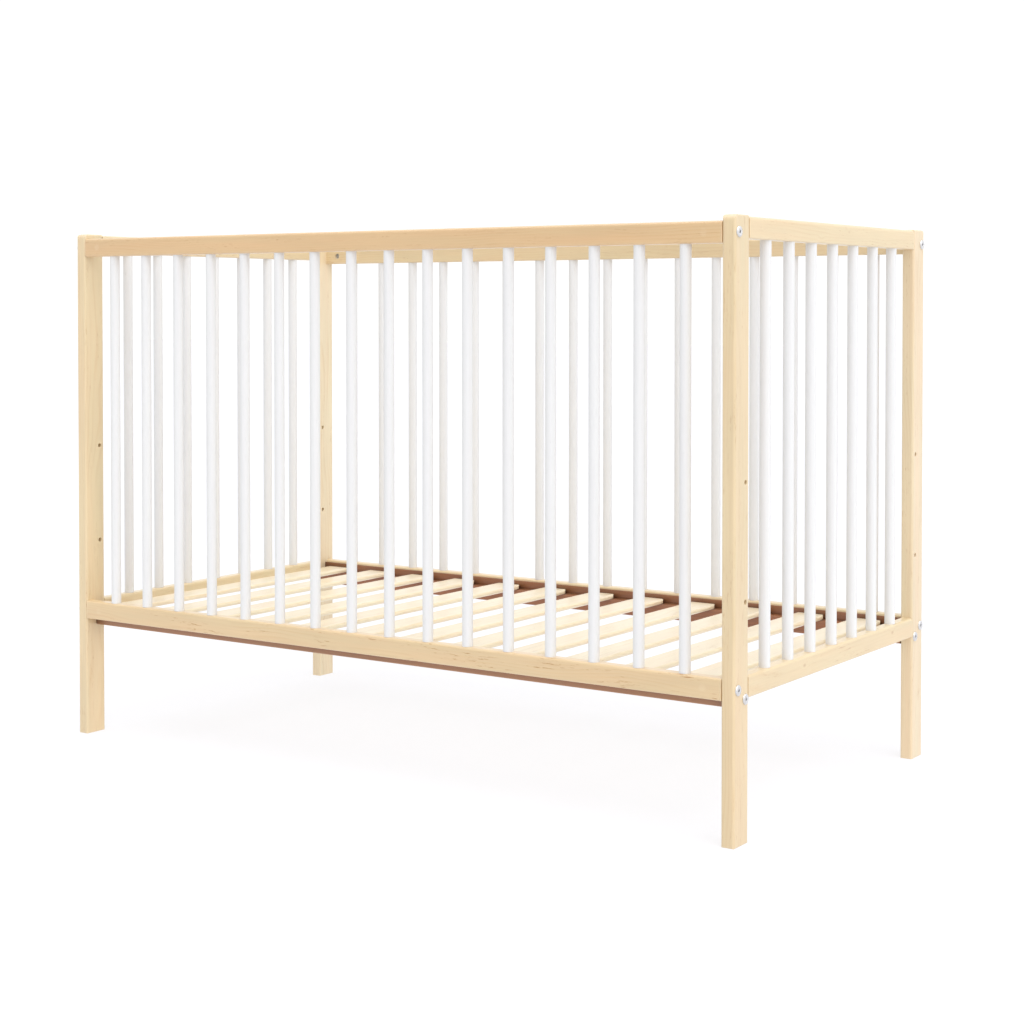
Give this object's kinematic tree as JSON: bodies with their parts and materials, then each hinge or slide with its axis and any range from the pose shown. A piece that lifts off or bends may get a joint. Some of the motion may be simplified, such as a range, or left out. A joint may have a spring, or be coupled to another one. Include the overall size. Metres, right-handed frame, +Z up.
{
  "type": "baby crib",
  "caption": "Pine baby crib with round white bars on all sides and a slatted mattress base that hangs between the posts at a low, middle or high level.",
  "frame": {"origin": "centre of the floor area between the posts", "axes": "+X along the crib's length, +Y towards its back panel, +Z up"},
  "size_m": [1.2444, 0.648, 0.841],
  "materials": {
    "pine_posts": "satin",
    "pine_rails": "satin",
    "pine_bearers": "brown stain, satin",
    "pine_slats": "matte",
    "white_lacquer": "satin lacquer",
    "beech_dowels": "matte",
    "nickel_bolts": "nickel plated",
    "zinc_nuts": "zinc plated",
    "zinc_screws": "zinc plated"
  },
  "bodies": {
    "frame": {"post_front_left": "pine_posts", "post_front_right": "pine_posts", "post_back_left": "pine_posts", "post_back_right": "pine_posts", "front_top_rail": "pine_rails", "front_bottom_rail": "pine_rails", "back_top_rail": "pine_rails", "back_bottom_rail": "pine_rails", "left_top_rail": "pine_rails", "left_bottom_rail": "pine_rails", "right_top_rail": "pine_rails", "right_bottom_rail": "pine_rails", "front_bars": "white_lacquer", "back_bars": "white_lacquer", "left_bars": "white_lacquer", "right_bars": "white_lacquer", "rail_bolts": "nickel_bolts", "rail_barrel_nuts": "zinc_nuts", "base_bolts": "nickel_bolts", "base_sleeve_nuts": "zinc_nuts", "end_dowels": "beech_dowels"},
    "base": {"bearer_front": "pine_bearers", "bearer_back": "pine_bearers", "slat_01": "pine_slats", "slat_02": "pine_slats", "slat_03": "pine_slats", "slat_04": "pine_slats", "slat_05": "pine_slats", "slat_06": "pine_slats", "slat_07": "pine_slats", "slat_08": "pine_slats", "slat_09": "pine_slats", "slat_10": "pine_slats", "slat_11": "pine_slats", "slat_12": "pine_slats", "slat_screws": "zinc_screws"}
  },
  "joints": [
    {"name": "base_height", "type": "slide", "parent": "frame", "child": "base", "axis": [0, 0, 1], "range_m": [0, 0.29]}
  ]
}
